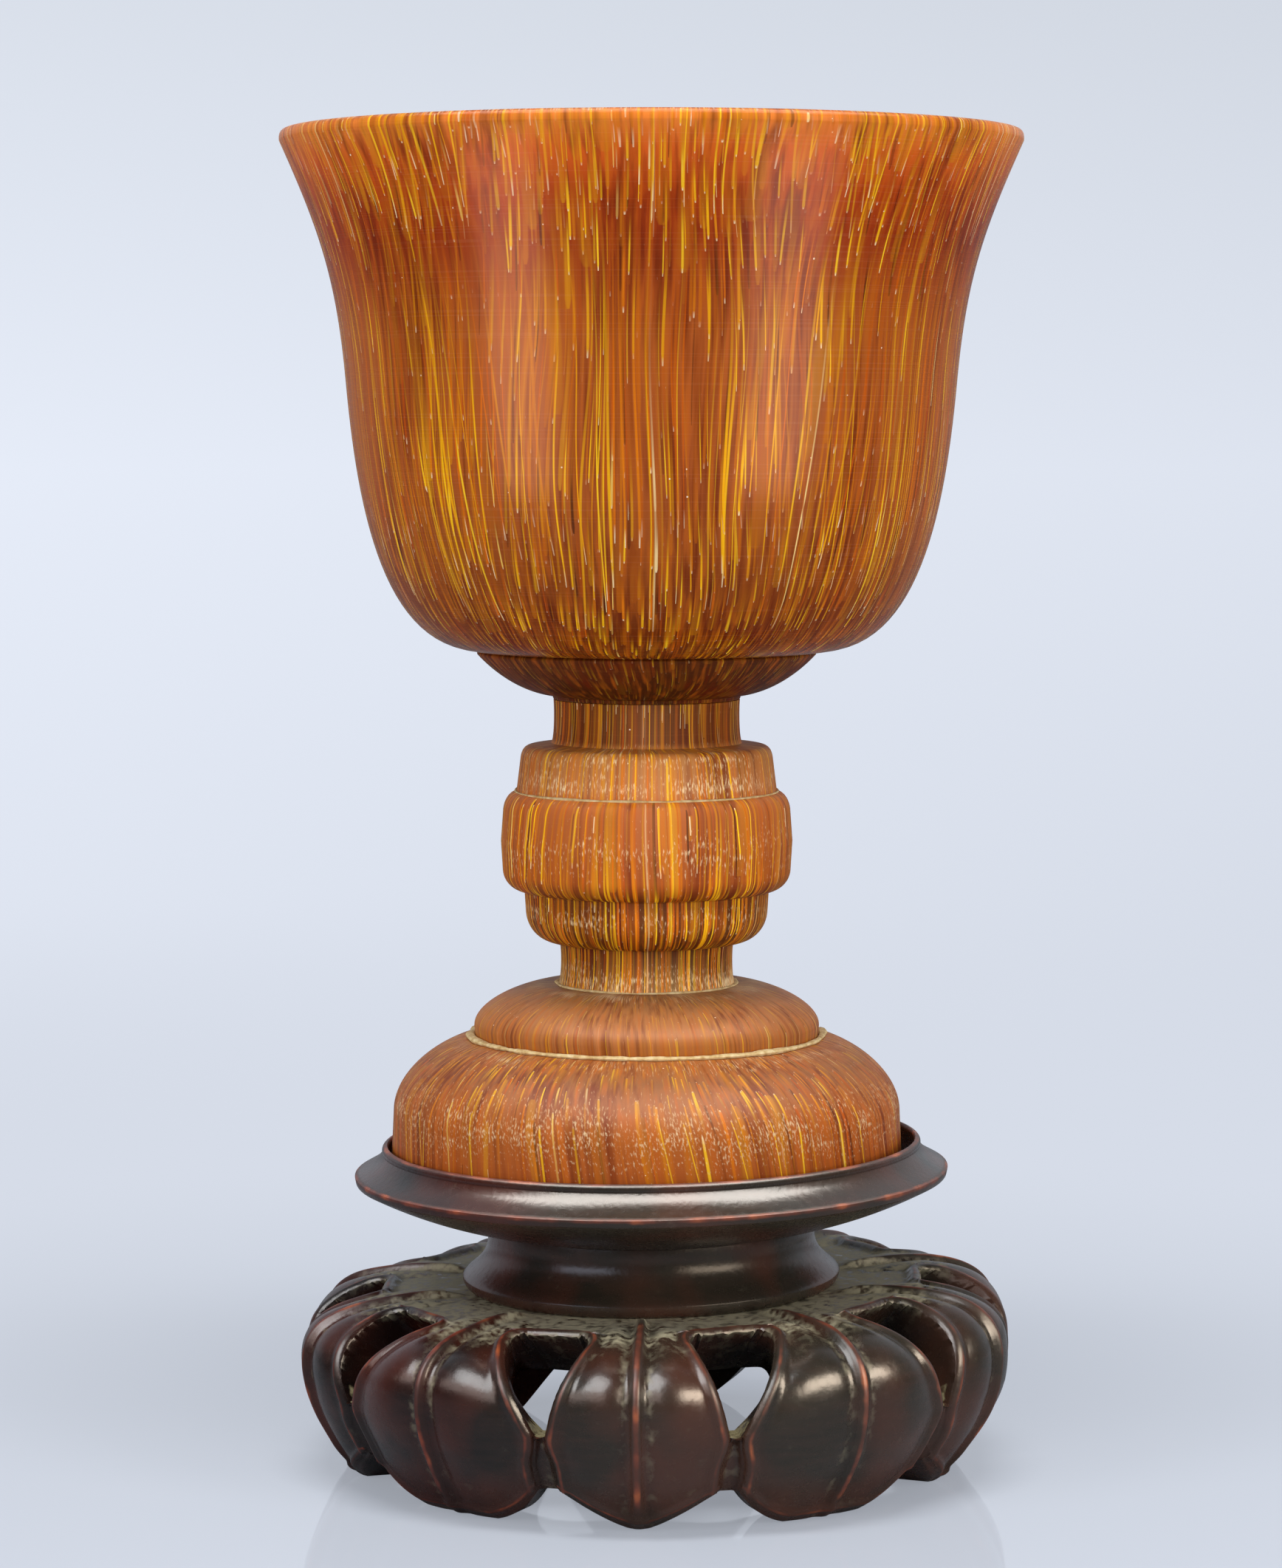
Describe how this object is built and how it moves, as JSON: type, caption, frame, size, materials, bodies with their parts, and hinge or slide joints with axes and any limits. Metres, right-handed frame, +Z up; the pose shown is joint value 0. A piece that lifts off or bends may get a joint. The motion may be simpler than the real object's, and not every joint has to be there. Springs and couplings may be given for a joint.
{
  "type": "libation cup",
  "caption": "Turned horn goblet with a flared bowl, tiered knop and domed foot, standing loose in the tray of a carved, pierced lotus-leaf hardwood stand.",
  "frame": {"origin": "on the ground, under the middle of the bowl and of the stand", "axes": "+Z up along the bowl's axis, +X to the right and +Y away from the viewer in the picture's view"},
  "size_m": [0.08, 0.08, 0.145],
  "materials": {
    "horn": "turned horn, fibrous red-brown, satin polish",
    "stem_horn": "turned horn, yellow-brown, worn and dusty in the grooves",
    "hardwood": "dark hardwood, waxed, worn red along the edges"
  },
  "bodies": {
    "stand": {"stand_tray": "hardwood", "stand_waist": "hardwood", "leaf_base": "hardwood"},
    "cup": {"bowl": "horn", "bowl_collar": "horn", "stem": "stem_horn", "foot_upper": "horn", "foot_lower": "horn"}
  },
  "joints": [
    {"name": "cup_lift", "type": "slide", "parent": "stand", "child": "cup", "axis": [0, 0, 1], "range_m": [0, 0.05]}
  ]
}
